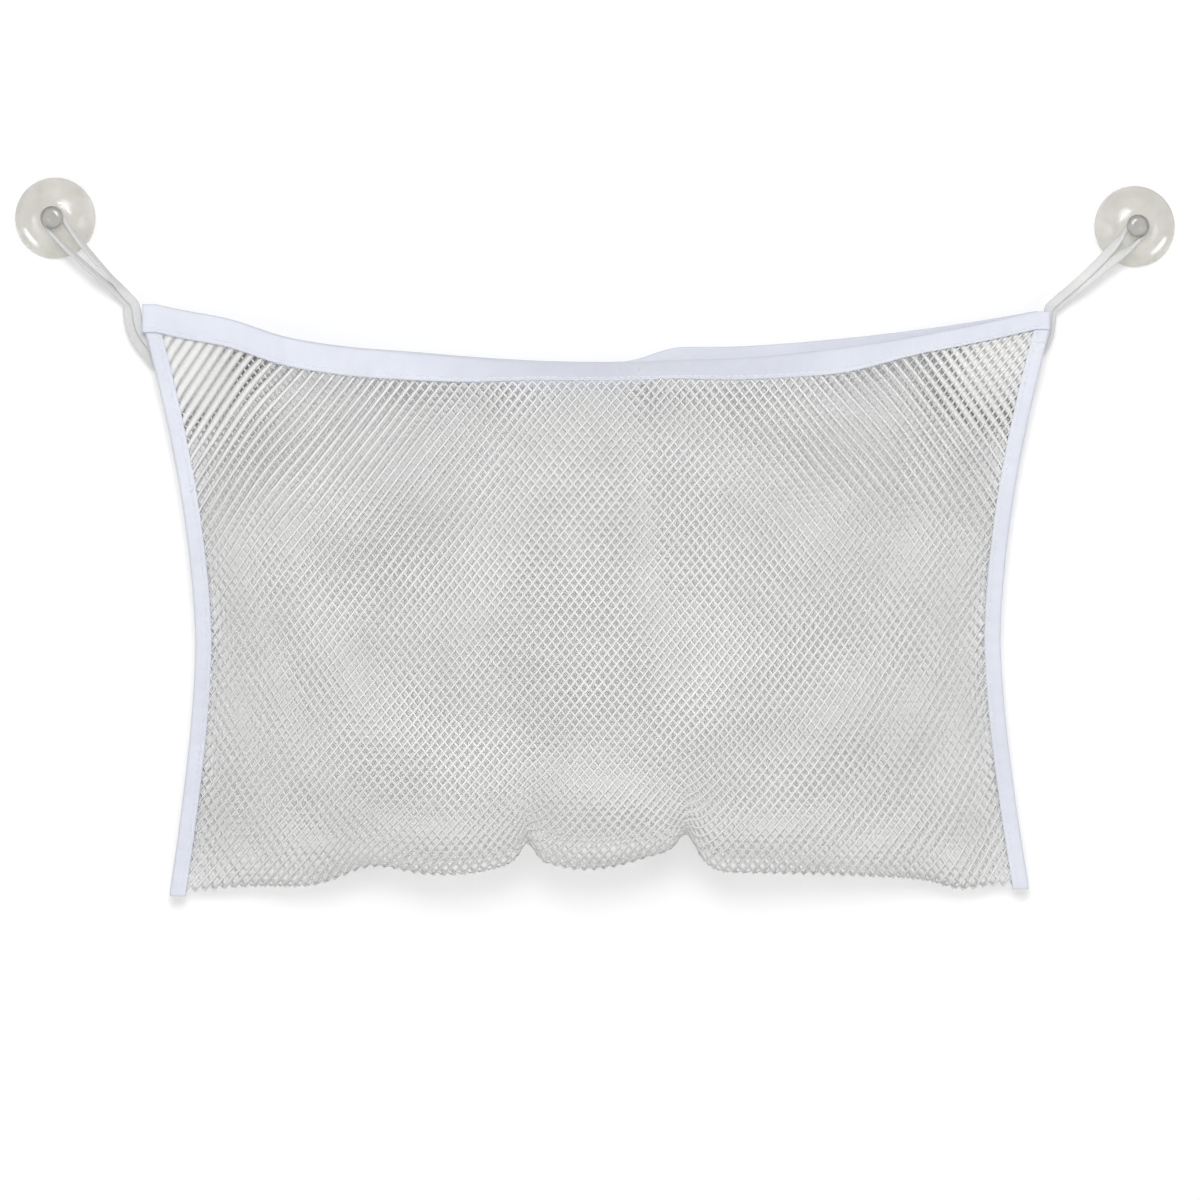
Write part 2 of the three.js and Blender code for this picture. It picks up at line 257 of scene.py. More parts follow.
# knitted net in millimetres: cells are diamonds across and down, spans are shares of the panel, and flat
# sizes are in metres
net = {
    "frontCells": (88, 45), "backCells": (84, 41), "reach": 0.022,
    "strand": 1.22, "thick": 0.6, "cross": 0.12, "knot": 2.1, "knotThick": 1.1,
    "pull": 0.6, "pullAcross": (0.15, 0.6), "pullDown": (0.1, 0.55),  # those to a corner are wider
    "gather": 2.2, "gatherAcross": (0.72, 0.96), "gatherDown": (0.04, 0.26),  # all bunch in the corners
    "frontFlat": (0.45, 0.33), "backFlat": (0.45, 0.29), "frontYarn": 0.085, "backYarn": 0.075,
    "mapSize": (0.2, 0.25),
}


# crossings on a chequered grid: their columns and rows, and the number of the crossing at each place
def netGrid(columns, rows):
    gridA, gridB = np.meshgrid(np.arange(columns + 1), np.arange(rows + 1), indexing="ij")
    keep = (gridA + gridB) % 2 == 1
    number = np.full(keep.shape, -1)
    number[keep] = np.arange(keep.sum())
    return gridA[keep], gridB[keep], number


# faces of one family of strands: four sides from each crossing to the next one down, and a cap on each end
def strandFaces(a, b, number, turn):
    columns, rows = number.shape[0] - 1, number.shape[1] - 1
    nextA, nextB = a + turn, b + 1
    inside = (nextA >= 0) & (nextA <= columns) & (nextB <= rows)
    first = np.nonzero(inside)[0] * 4
    second = number[nextA[inside], nextB[inside]] * 4
    faces = []
    for k in range(4):
        n = (k + 1) % 4
        faces.append(np.stack([first + k, first + n, second + n, second + k], 1))
    ends = np.nonzero(~inside)[0] * 4
    prevA, prevB = a - turn, b - 1
    starts = np.nonzero((prevA < 0) | (prevA > columns) | (prevB < 0))[0] * 4
    return faces + [ends[:, None] + np.arange(4), starts[:, None] + np.arange(4)[::-1]]


# diamond net on a panel: two families of four-sided strands through the crossings, one a little in front of
# the other, and an eight-sided knot on each crossing
def addNet(node, back):
    columns, rows = (2 * n for n in net["backCells" if back else "frontCells"])
    a, b, number = netGrid(columns, rows)
    count = len(a)
    u = (-1 + 2 * a / columns) * (1 + net["reach"])
    v = -net["reach"] + (1 + net["reach"]) * b / rows
    at = panelPoint(u, v, back)
    tiny = 1e-3
    du = (panelPoint(u + tiny, v, back) - panelPoint(u - tiny, v, back)) / 2 / tiny
    dv = (panelPoint(u, np.minimum(v + tiny, 1), back) - panelPoint(u, v - tiny, back)) / 2 / tiny
    normal = unit(np.cross(du, dv))
    pull = net["pull"] * np.sign(u) * ease(np.abs(u), *net["pullAcross"]) * (1 - ease(v, *net["pullDown"]))
    gather = net["gather"] * ease(np.abs(u), *net["gatherAcross"]) * (1 - ease(v, *net["gatherDown"]))
    verts, faces = [], []
    for family, turn in enumerate((1, -1)):
        run = unit(turn * du * 2 / columns + dv / rows)
        half = net["strand"] / 2 * (1 + turn * pull) * (1 + gather)
        wide = unit(np.cross(normal, run)) * half[:, None]
        thick = normal * net["thick"] / 2
        line = at + normal * turn * net["cross"]
        verts.append(np.stack([line + wide, line + thick, line - wide, line - thick], 1).reshape(-1, 3))
        faces += [strip + family * 4 * count for strip in strandFaces(a, b, number, turn)]
    across = unit(du) * net["knot"] / 2
    down = unit(np.cross(normal, across)) * net["knot"] / 2
    out = normal * net["knotThick"] / 2
    ball = np.stack([at + across, at + down, at - across, at - down, at + out, at - out], 1)
    verts.append(ball.reshape(-1, 3))
    start = 8 * count + 6 * np.arange(count)[:, None]
    for k in range(4):
        n = (k + 1) % 4
        faces += [start + np.array([k, n, 4]), start + np.array([n, k, 5])]
    uv = np.stack([u, v], 1) * net["mapSize"]
    uv = np.concatenate([np.repeat(uv, points, 0) for points in (4, 4, 6)])
    obj = addMesh(node + "_mesh", np.concatenate(verts), faces, uv)
    return dress(obj, "bag", node)


frontNet = addNet("front_net", False)
backNet = addNet("back_net", True)
print("nets:", len(frontNet.data.polygons), len(backNet.data.polygons), "faces")

# folded tapes in millimetres; legs are the section's stops from fold to open edge
tape = {
    "thick": 0.75, "bandGap": 0.9, "bindingGap": 1.9, "lip": 0.3, "legs": (0.35, 0.7, 0.93),
    "bandStations": 320, "bindingStations": 200, "underBand": 1.0, "endShift": 1.15,
    "pucker": 0.18, "puckerPitch": 9.0,
    "wave": 0.5, "bandWave": 17.0, "backPhase": 2.0, "bindingWave": 0.06,
}


# folded tape section as (across, depth): a round fold at depth 0, two legs down to depth, a slot between them
def tapeProfile(depth, gap):
    inner = gap / 2
    outer = inner + tape["thick"]
    lip = tape["thick"] * tape["lip"]
    turn = np.linspace(0, math.pi, 9)
    fold = np.stack([-outer * np.cos(turn), outer - outer * np.sin(turn)], 1)
    slot = np.stack([inner * np.cos(turn[::2]), outer - inner * np.sin(turn[::2])], 1)
    down = outer + (depth - outer) * np.array(tape["legs"])
    left, right, rightIn, leftIn = (np.stack([np.full_like(down, x), down], 1)
                                    for x in (-outer, outer, inner, -inner))
    end = np.array([[outer - lip, depth], [inner + lip, depth]])
    return np.concatenate([left[::-1], fold, right, end, rightIn[::-1], slot, leftIn, end[::-1] * [-1, 1]])


# small waves that the sewing draws along a tape: none at its fold and open edge, most half way between them
def puckers(length, share):
    along = np.sin(2 * math.pi * length / tape["puckerPitch"])
    return 1 + tape["pucker"] * along[:, None] * np.sin(math.pi * share)


# mouth band: the section stands on the mouth's curve, square to it seen from above. With its depth it tips
# forward by the lean and hangs by the drop.
def addBand(node, back):
    u = np.linspace(-1, 1, tape["bandStations"])
    inner = bag["cornerHalf"] - bag["bindingWidth"] - bag["lead"]
    wide = u * (bag["cornerHalf"] - slack["bandShort"]) / inner
    a = np.clip(wide, -1, 1)
    lean = np.zeros_like(a) if back else bandLean(a)
    y = panelPoint(a, np.zeros_like(a), back)[:, 1] + lean
    y = y + (1 if back else -1) * tape["endShift"] * a ** 8
    y = y + tape["wave"] * np.sin(u * tape["bandWave"] + (tape["backPhase"] if back else 0)) * bow(a)
    centre = np.stack([wide * inner + slack["shift"], y, mouthZ(a, back)], 1)
    run = unit(np.gradient(centre, axis=0) * [1, 1, 0])
    across = np.stack([-run[:, 1], run[:, 0], np.zeros(len(u))], 1)
    profile = tapeProfile(bag["bandHeight"], tape["bandGap"])
    share = profile[:, 1] / bag["bandHeight"]
    out = profile[:, 0] * puckers(lengthAlong(centre), share) - lean[:, None] * share
    rings = centre[:, None, :] + across[:, None, :] * out[..., None]
    rings[..., 2] -= share * bandDrop(a, back)[:, None]
    obj = addLoft(node + "_tape", rings)
    return dress(obj, "bag", node), rings, profile


# side binding: the section lies level with its fold on the bag's outer edge, and follows that edge down
def addBinding(node, side):
    top = bag["cornerZ"] - bandDrop(side, True) + tape["underBand"]
    bottom = bag["cornerZ"] - bag["height"] - slack["hemOver"]
    z = np.linspace(top, bottom, tape["bindingStations"])
    centre = hang(np.stack([side * halfWidth(z), np.full_like(z, bag["sideY"]), z], 1))
    centre[:, 1] += tape["wave"] * np.sin((z - top) * tape["bindingWave"])
    profile = tapeProfile(bag["bindingWidth"], tape["bindingGap"])
    rings = np.repeat(centre[:, None, :], len(profile), 1)
    rings[..., 0] -= side * profile[:, 1]
    rings[..., 1] += profile[:, 0] * puckers(top - z, profile[:, 1] / bag["bindingWidth"])
    obj = addLoft(node + "_tape", rings)
    return dress(obj, "bag", node), rings, profile


frontBand, frontRings, bandProfile = addBand("front_mouth_band", False)
backBand, backRings, _ = addBand("back_mouth_band", True)
leftBinding, leftRings, bindingProfile = addBinding("left_side_binding", -1)
rightBinding, rightRings, _ = addBinding("right_side_binding", 1)
print("tapes made")

# sewing in millimetres; the spindle of a stitch has rings as shares: (along, size, sunk into the cloth)
sewing = {
    "stitch": 2.5, "pitch": 3.3, "thick": 0.5, "inset": 2.4, "fromEnd": 3.0, "raise": 0.12, "sides": 6,
    "spindle": [(-0.5, 0.35, -0.7), (-0.3, 1.0, 0.0), (0.3, 1.0, 0.0), (0.5, 0.35, -0.7)], "mapStep": 0.003,
    "tackBars": 9, "tackLength": 2.6, "tackThick": 0.7, "tackHalf": 3.0, "tackDrop": 2.5, "tackRaise": 1.85,
    "tackSlant": 0.25,
}


# stitches as spindles: rings of points round a short line, laid on points with a direction and a normal
def addStitches(node, at, run, normal, length, thick):
    along, size, sunk = np.array(sewing["spindle"]).T
    turn = np.linspace(0, 2 * math.pi, sewing["sides"], endpoint=False)[:, None]
    side = np.cross(normal, run)
    spine = at[:, None] + run[:, None] * (along * length)[:, None]
    spine = spine + normal[:, None] * (sunk * thick / 2)[:, None]
    ring = side[:, None] * np.cos(turn) + normal[:, None] * np.sin(turn)
    verts = spine[:, :, None] + ring[:, None] * (size * thick / 2)[:, None, None]
    one = np.arange(along.size * turn.size).reshape(along.size, turn.size)
    start = np.arange(len(at))[:, None] * one.size
    quads = (start[:, :, None] + ringQuads(one)).reshape(-1, 4)
    caps = np.concatenate([start + one[0, ::-1], start + one[-1]])
    uv = np.stack([np.arange(len(at)) * sewing["mapStep"], np.zeros(len(at))], 1)
    obj = addMesh(node + "_stitches", verts.reshape(-1, 3), [quads, caps], np.repeat(uv, one.size, 0))
    return dress(obj, "bag", node)


# points of a line at given stops along its length
def pointsAt(stops, length, line):
    return np.stack([np.interp(stops, length, line[:, k]) for k in range(3)], 1)


# stitch places every pitch along a line, raised off the cloth, with directions and normals square to them
def seamPoints(line, normal):
    length = lengthAlong(line)
    stops = np.arange(sewing["fromEnd"], length[-1] - sewing["fromEnd"], sewing["pitch"])
    run = unit(pointsAt(stops + 0.5, length, line) - pointsAt(stops - 0.5, length, line))
    out = pointsAt(stops, length, normal)
    out = unit(out - run * np.einsum("ij,ij->i", out, run)[:, None])
    return pointsAt(stops, length, line) + out * sewing["raise"], run, out


# a line at the sewing's inset from a tape's open edge, between the last two stops of its front leg (-1)
# or its back leg (1), and the direction away from the other leg
def faceLine(rings, profile, depth, face):
    def nearest(across, down):
        return int(np.argmin(np.abs(profile[:, 0] - across) + np.abs(profile[:, 1] - down)))

    outer = face * profile[:, 0].max()
    upper, lower = (nearest(outer, depth * leg) for leg in tape["legs"][1:])
    mix = (depth - sewing["inset"] - profile[upper, 1]) / (profile[lower, 1] - profile[upper, 1])
    line = rings[:, upper] * (1 - mix) + rings[:, lower] * mix
    return line, unit(rings[:, upper] - rings[:, nearest(-outer, profile[upper, 1])])


# a row of stitches on both faces of a tape
def addSeam(node, rings, profile, depth):
    parts = [seamPoints(*faceLine(rings, profile, depth, face)) for face in (-1, 1)]
    at, run, normal = (np.concatenate([part[k] for part in parts]) for k in range(3))
    return addStitches(node, at, run, normal, sewing["stitch"], sewing["thick"])


# bar tack: close parallel stitches across the top of the side binding
def addTack(node, side):
    count = sewing["tackBars"]
    z = bag["cornerZ"] - bag["bandHeight"] - sewing["tackDrop"]
    middle = side * (halfWidth(z) - bag["bindingWidth"] / 2)
    x = middle + np.linspace(-sewing["tackHalf"], sewing["tackHalf"], count)
    at = hang(np.stack([x, np.full(count, bag["sideY"] - sewing["tackRaise"]), np.full(count, z)], 1))
    run = unit(np.tile([sewing["tackSlant"], 0.0, 1.0], (count, 1)))
    normal = np.tile([0.0, -1.0, 0.0], (count, 1))
    return addStitches(node, at, run, normal, sewing["tackLength"], sewing["tackThick"])


frontSeam = addSeam("front_mouth_seam", frontRings, bandProfile, bag["bandHeight"])
backSeam = addSeam("back_mouth_seam", backRings, bandProfile, bag["bandHeight"])
leftSeam = addSeam("left_side_seam", leftRings, bindingProfile, bag["bindingWidth"])
rightSeam = addSeam("right_side_seam", rightRings, bindingProfile, bag["bindingWidth"])
leftTack = addTack("left_bar_tack", -1)
rightTack = addTack("right_bar_tack", 1)
print("sewing made")

# hanging loops in millimetres and degrees; root is (x, z), and tail sizes are those of the sewn end
cordLeft = {
    "width": 4.6, "thick": 2.0, "root": (-231.8, -40.8), "rootGap": 1.0,
    "twist": 28.0, "pinch": 1.1, "sag": 1.5,
    "tail": 42.0, "tailStart": 7.0, "tailBend": 33.0, "tailY": -5.75, "tailGap": 2.4,
}
cordRight = dict(cordLeft, root=(228.2, -40.5), rootGap=1.2, twist=76.0, pinch=2.6, sag=1.8,
                 tailStart=3.0, tailBend=35.0, tailGap=1.0)

# how both cords lie; spans are distances past the neck or the root, and shares of the tail
lay = {
    "neckGap": 0.3, "spanRows": 60, "tailRows": 40, "turnRows": 25, "sides": 16, "sectionPowers": (0.6, 0.8),
    "twistPastNeck": (3.0, 20.0), "twistPastRoot": (-14.0, 3.0), "openPastRoot": (-1.0, 6.0),
    "tuckPastRoot": (-22.0, -4.0), "tailBendSpan": (0.15, 0.65), "tailJoinSpan": (0.0, 0.1),
    "strandGap": 0.1, "leastTurn": 0.3, "overlapSpan": (-1.2, 0.0), "swingRow": 6, "swingAbove": 11.0,
}


# neck, root and the distance between them, with the directions from root to neck and beside that
def loopAxes(side, cord):
    neck = np.array([side * bag["cupX"], 0, 0])
    root = np.array([cord["root"][0], 0, cord["root"][1]])
    span = np.linalg.norm(neck - root)
    forward = (neck - root) / span
    return neck, root, span, forward, np.array([forward[2], 0, -forward[0]])


# middle line of a doubled cord, directions beside it and distances from the neck: a straight run to the root
# with a sine for its sag, then the tail, whose heading eases from the loop's own into its bend
def loopLine(side, cord):
    neck, root, span, forward, aside = loopAxes(side, cord)
    s = np.linspace(0, 1, lay["spanRows"])
    q = np.linspace(0, 1, lay["tailRows"])[1:]
    start = math.atan2(side * forward[0], forward[2])
    heading = np.radians(cord["tailStart"] + cord["tailBend"] * ease(q, *lay["tailBendSpan"]))
    heading = start + (heading - start) * ease(q, *lay["tailJoinSpan"])
    run = np.stack([-side * np.sin(heading), 0 * q, -np.cos(heading)], 1)
    tail = root + np.cumsum(run, 0) * cord["tail"] / len(q)
    middle = np.concatenate([neck - forward * (s * span)[:, None], tail])
    beside = np.concatenate([np.tile(aside, (len(s), 1)), np.stack([-run[:, 2], 0 * q, run[:, 0]], 1)])
    far = np.concatenate([s * span, span + q * cord["tail"]])
    droop = side * cord["sag"] * np.sin(math.pi * np.sqrt(np.clip(far / span, 0, 1)))
    return middle + beside * droop[:, None], beside, far


# flattened cord: a rounded oblong section carried along the path and turned about it
def cordRings(path, turned, cord):
    run = unit(np.gradient(path, axis=0))
    up = unit(np.array([0, 1.0, 0]) - run * run[:, 1:2])
    wide = up * np.cos(turned)[:, None] + np.cross(run, up) * np.sin(turned)[:, None]
    thin = np.cross(run, wide)
    t = np.linspace(0, 2 * math.pi, lay["sides"], endpoint=False)[:, None]
    widePower, thinPower = lay["sectionPowers"]
    acrossWide = np.sign(np.cos(t)) * np.abs(np.cos(t)) ** widePower * cord["width"] / 2
    acrossThin = np.sign(np.sin(t)) * np.abs(np.sin(t)) ** thinPower * cord["thick"] / 2
    return path[:, None] + wide[:, None] * acrossWide + thin[:, None] * acrossThin


# doubled cord: a half turn round the neck and two strands beside the middle line, which close to the root
# by a power curve. The section turns by the twist, and where the strands would overlap, one lies in front.
def addLoop(name, side, cord):
    neck, root, span, forward, aside = loopAxes(side, cord)
    middle, beside, far = loopLine(side, cord)
    past = far - span
    radius = bag["neck"] + lay["neckGap"] + cord["thick"] / 2
    apart = cord["rootGap"] + (radius - cord["rootGap"]) * np.clip(1 - far / span, 0, 1) ** cord["pinch"]
    apart = apart + (cord["tailGap"] - cord["rootGap"]) * ease(past, *lay["openPastRoot"])
    twist = cord["twist"] * ease(far, *lay["twistPastNeck"])
    twist = np.radians(twist + (90 - cord["twist"]) * ease(past, *lay["twistPastRoot"]))
    overlap = ease(cord["width"] - 2 * apart * np.sin(twist), *lay["overlapSpan"])
    lack = np.maximum(cord["thick"] + lay["strandGap"] - 2 * apart * np.cos(twist), 0)
    stack = overlap * lack / np.maximum(np.sin(twist), lay["leastTurn"])
    y = bag["loopY"] + (cord["tailY"] - bag["loopY"]) * ease(past, *lay["tuckPastRoot"])
    strands = []
    for hand in (1, -1):
        strand = middle + beside * (hand * apart)[:, None]
        strand[:, 1] = y + side * hand * stack / 2
        strands.append(strand)
    theta = np.linspace(-math.pi / 2, math.pi / 2, lay["turnRows"])[1:-1, None]
    arc = neck + radius * (np.cos(theta) * forward + np.sin(theta) * aside)
    arc[:, 1] = bag["loopY"]
    path = np.concatenate([strands[1][::-1], arc, strands[0]])
    turned = -side * np.concatenate([-twist[::-1], np.zeros(len(arc)), twist])
    obj = addLoft(name + "_loop_cord", cordRings(path, turned, cord))
    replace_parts(obj, name + "_hanging_loop", name + "_loop_tail")
    low = middle[lay["spanRows"] + lay["swingRow"]] * mm  # sewn below here, and free to swing above high
    high = (root + forward * lay["swingAbove"]) * mm
    low[1] = high[1] = bag["loopY"] * mm
    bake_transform(obj)
    return obj


leftLoop = addLoop("left", -1, cordLeft)
rightLoop = addLoop("right", 1, cordRight)
print("loops made")

# suction cups in millimetres
cup = {
    "rim": 20.0, "land": 3.2, "edge": 1.1, "hollow": 2.4,  # radius, flat ring, its thickness, depth inside
    "dome": 8.2, "domePower": 1.6, "shoulder": 7.0, "step": 0.2, "stepHeight": 0.1, "foot": 0.6,
    "neckLength": 5.2, "head": 5.7, "headHeight": 4.8, "headLow": 0.4, "headPower": 0.55, "underHead": 0.3,
    "headStart": 0.15, "headClear": 0.1, "dimple": 0.7, "dimpleWidth": 1.4, "segments": 96,
}


# half section of a cup as (radius, y), from the middle of the hollow to the top of the head: a parabola
# for the hollow, a half circle for the rim, a power curve for the dome, a quarter ellipse to the neck's
# foot, the straight neck, and a flattened ball with a bell-shaped dimple for the head
def cupProfile():
    share = np.linspace(0, 1, 12)
    hollow = np.stack([(cup["rim"] - cup["land"]) * share, -cup["hollow"] * (1 - share ** 2)], 1)
    edge = cup["edge"] / 2
    lip = np.linspace(-math.pi / 2, math.pi / 2, 9)
    rim = np.stack([cup["rim"] - edge + edge * np.cos(lip), -edge - edge * np.sin(lip)], 1)
    inward = np.linspace(1, 0, 24)[1:]
    dome = np.stack([cup["shoulder"] + (cup["rim"] - edge - cup["shoulder"]) * inward,
                     -cup["edge"] - (cup["dome"] - cup["edge"]) * (1 - inward ** cup["domePower"])], 1)
    bend = np.linspace(0, math.pi / 2, 6)
    foot = bag["neck"] + cup["foot"]
    shoulder = np.stack([foot + (cup["shoulder"] - cup["step"] - foot) * np.cos(bend),
                         -cup["dome"] - cup["stepHeight"] * np.sin(bend)], 1)
    top = cup["dome"] + cup["neckLength"]
    down = np.linspace(cup["dome"] + cup["foot"], top - cup["underHead"], 4)
    neck = np.stack([np.full_like(down, bag["neck"]), -down], 1)
    swell = np.linspace(-math.pi / 2 + cup["headStart"], math.pi / 2, 22)
    low = cup["headHeight"] * cup["headLow"]
    tall = np.where(swell < 0, low, cup["headHeight"] - low)
    radius = cup["head"] * np.abs(np.cos(swell)) ** cup["headPower"]
    y = -(top + low + tall * np.sin(swell)) + cup["dimple"] * bump(radius, 0, cup["dimpleWidth"])
    keep = (swell > 0) | (radius > bag["neck"] + cup["headClear"])
    return np.concatenate([hollow, rim, dome, shoulder, neck, np.stack([radius, y], 1)[keep]])


# the section turned about the cup's axis, with a pole at each end. The map holds how far up the neck a point
# lies, from 0 on the dome to 1 on the head, and the vinyl lays its painted shade by it.
def addCup(node, side):
    profile = cupProfile()
    radius, y = profile[1:-1, :1], profile[1:-1, 1:]
    spin = np.linspace(0, 2 * math.pi, cup["segments"], endpoint=False)
    turned = np.stack([radius * np.cos(spin), y + 0 * spin, radius * np.sin(spin)], -1)
    poles = np.array([[0, profile[0, 1], 0], [0, profile[-1, 1], 0]])
    verts = np.concatenate([turned.reshape(-1, 3), poles]) + np.array([side * bag["cupX"], 0, 0])
    grid = np.arange(len(verts) - 2).reshape(turned.shape[:2])
    first = np.stack([np.full(len(spin), grid.size), np.roll(grid[0], -1), grid[0]], 1)
    last = np.stack([np.full(len(spin), grid.size + 1), grid[-1], np.roll(grid[-1], -1)], 1)
    shadeUpNeck = np.clip((-verts[:, 1] - cup["dome"]) / cup["neckLength"], 0, 1)
    uv = np.stack([shadeUpNeck, 0 * shadeUpNeck], 1)
    obj = addMesh(node + "_vinyl", verts, [ringQuads(grid), first, last], uv)
    return dress(obj, node.replace("_suction", ""), node)


leftCup = addCup("left_suction_cup", -1)
rightCup = addCup("right_suction_cup", 1)
print("cups made")


# inputs of a node, by name or number: a socket is linked, and anything else is the input's constant
def feed(tree, node, inputs):
    for key, value in inputs.items():
        if isinstance(value, bpy.types.NodeSocket):
            tree.links.new(value, node.inputs[key])
        else:
            node.inputs[key].default_value = value
    return node


# a new shader node with its settings and inputs
def addNode(tree, kind, inputs=None, **settings):
    node = tree.nodes.new("ShaderNode" + kind)
    for name, value in settings.items():
        setattr(node, name, value)
    return feed(tree, node, inputs or {})


# result of a Math node
def addMath(tree, operation, *values):
    return addNode(tree, "Math", dict(enumerate(values)), operation=operation).outputs[0]


# a ramp between two colours over a span of its input
def addRamp(tree, value, dark, light, span):
    ramp = addNode(tree, "ValToRGB", {"Fac": value})
    for element, colour, position in zip(ramp.color_ramp.elements, (dark, light), span):
        element.position = position
        element.color = (*colour, 1)
    return ramp.outputs["Color"]


# a material with its node tree and its shader
def newMaterial(name):
    mat = bpy.data.materials.new(name)
    mat.use_nodes = True
    return mat, mat.node_tree, mat.node_tree.nodes["Principled BSDF"]


# a node group with one number in, and a tone and a normal out
def newGroup(name, inputName):
    tree = bpy.data.node_groups.new(name, "ShaderNodeTree")
    tree.interface.new_socket(inputName, in_out="INPUT", socket_type="NodeSocketFloat")
    tree.interface.new_socket("Tone", in_out="OUTPUT", socket_type="NodeSocketFloat")
    tree.interface.new_socket("Normal", in_out="OUTPUT", socket_type="NodeSocketVector")
    return tree, tree.nodes.new("NodeGroupInput"), tree.nodes.new("NodeGroupOutput")


tapeWeave = {"fibre": 900.0, "cloud": 38.0, "ribTone": 0.16, "bump": 0.35, "bumpHeight": 0.00012}


# group: ribs along and across a tape, from sines of its map, with fine fibre on them and a slow cloud of tone
def weaveGroup():
    tree, start, end = newGroup("tapeWeave", "Pitch")
    split = addNode(tree, "SeparateXYZ", {0: addNode(tree, "UVMap", uv_map="uv").outputs["UV"]})
    ribs = []
    for axis in ("X", "Y"):
        turn = addMath(tree, "MULTIPLY", split.outputs[axis], start.outputs["Pitch"])
        ribs.append(addMath(tree, "SINE", turn))
    cross = addMath(tree, "MULTIPLY", *ribs)
    place = addNode(tree, "TexCoord").outputs["Object"]
    fine = addNode(tree, "TexNoise", {"Vector": place, "Scale": tapeWeave["fibre"], "Detail": 3.0})
    cloud = addNode(tree, "TexNoise", {"Vector": place, "Scale": tapeWeave["cloud"], "Detail": 4.0})
    relief = addNode(tree, "Bump", {"Strength": tapeWeave["bump"], "Distance": tapeWeave["bumpHeight"],
                                    "Height": addMath(tree, "ADD", cross, fine.outputs["Fac"])})
    tone = addMath(tree, "MULTIPLY_ADD", cross, tapeWeave["ribTone"], cloud.outputs["Fac"])
    feed(tree, end, {"Tone": tone, "Normal": relief.outputs["Normal"]})
    return tree


fibre = {"cloud": 26.0, "fineTone": 0.45, "bump": 0.4, "bumpHeight": 0.0002}


# group: fine fibre and a slow cloud of tone, from noise on the piece's own coordinates
def fibreGroup():
    tree, start, end = newGroup("fibre", "Scale")
    place = addNode(tree, "TexCoord").outputs["Object"]
    fine = addNode(tree, "TexNoise", {"Vector": place, "Scale": start.outputs["Scale"], "Detail": 4.0})
    cloud = addNode(tree, "TexNoise", {"Vector": place, "Scale": fibre["cloud"]})
    relief = addNode(tree, "Bump", {"Strength": fibre["bump"], "Distance": fibre["bumpHeight"],
                                    "Height": fine.outputs["Fac"]})
    tone = addMath(tree, "MULTIPLY_ADD", fine.outputs["Fac"], fibre["fineTone"], cloud.outputs["Fac"])
    feed(tree, end, {"Tone": tone, "Normal": relief.outputs["Normal"]})
    return tree


weaveNodes, fibreNodes = weaveGroup(), fibreGroup()

netYarn = {"scale": 700.0, "dark": (0.74, 0.74, 0.73), "light": (0.88, 0.88, 0.87), "span": (0.45, 0.95),
           "rough": 0.75, "sheen": 0.25}
wovenTape = {"scale": 9000.0, "dark": (0.71, 0.735, 0.83), "light": (0.80, 0.825, 0.90), "span": (0.2, 0.8),
             "rough": 0.8, "sheen": 0.3}
softCord = {"scale": 1100.0, "dark": (0.58, 0.585, 0.58), "light": (0.78, 0.785, 0.775), "span": (0.4, 1.0),
            "rough": 0.8, "sheen": 0.4}
sewingThread = {"scale": 1600.0, "dark": (0.72, 0.74, 0.80), "light": (0.86, 0.88, 0.92), "span": (0.4, 1.0),
                "rough": 0.6, "sheen": 0.2}


# cloth: the group's tone picks between a dark and a light colour, and its normal gives the threads
def clothMaterial(name, group, look):
    mat, tree, shader = newMaterial(name)
    threads = addNode(tree, "Group", node_tree=group)
    threads.inputs[0].default_value = look["scale"]
    feed(tree, shader, {
        "Base Color": addRamp(tree, threads.outputs["Tone"], look["dark"], look["light"], look["span"]),
        "Normal": threads.outputs["Normal"], "Roughness": look["rough"],
        "Sheen Weight": look["sheen"], "Sheen Roughness": 0.5, "Specular IOR Level": 0.3,
    })
    return mat


netMat = clothMaterial("netYarn", fibreNodes, netYarn)
tapeMat = clothMaterial("wovenTape", weaveNodes, wovenTape)
cordMat = clothMaterial("softCord", fibreNodes, softCord)
threadMat = clothMaterial("sewingThread", fibreNodes, sewingThread)

# clear vinyl's colours; thick is a painted shade, the darker colour that the neck and head take
clearVinyl = {
    "dark": (0.70, 0.68, 0.635), "light": (0.84, 0.825, 0.78), "thick": (0.47, 0.46, 0.435),
    "span": (0.3, 0.75), "cloud": 90.0, "leastRough": 0.06, "mostRough": 0.16,
    "bump": 0.15, "bumpHeight": 0.0004, "clear": 0.55, "ior": 1.45,
}


# clear soft vinyl: tinted transmission, with a painted shade that darkens it up the neck and over the head,
# faintly cloudy in tone and gloss
def vinylMaterial(name, look):
    mat, tree, shader = newMaterial(name)
    place = addNode(tree, "TexCoord").outputs["Object"]
    cloud = addNode(tree, "TexNoise", {"Vector": place, "Scale": look["cloud"], "Detail": 3.0}).outputs["Fac"]
    shadeUpNeck = addNode(tree, "SeparateXYZ", {0: addNode(tree, "UVMap", uv_map="uv").outputs["UV"]})
    thin = addRamp(tree, cloud, look["dark"], look["light"], look["span"])
    tint = addNode(tree, "Mix", data_type="RGBA")
    # painted shade: the colour turns to thick up the neck and over the head
    feed(tree, tint, {0: shadeUpNeck.outputs["X"], 6: thin, 7: (*look["thick"], 1)})  # 6 and 7 are its two colours
    gloss = addNode(tree, "MapRange", {"Value": cloud, "To Min": look["leastRough"],
                                       "To Max": look["mostRough"]})
    relief = addNode(tree, "Bump", {"Strength": look["bump"], "Distance": look["bumpHeight"],
                                    "Height": cloud})
    feed(tree, shader, {
        "Base Color": tint.outputs[2], "Roughness": gloss.outputs["Result"],
        "Normal": relief.outputs["Normal"], "Transmission Weight": look["clear"], "IOR": look["ior"],
    })
    return mat


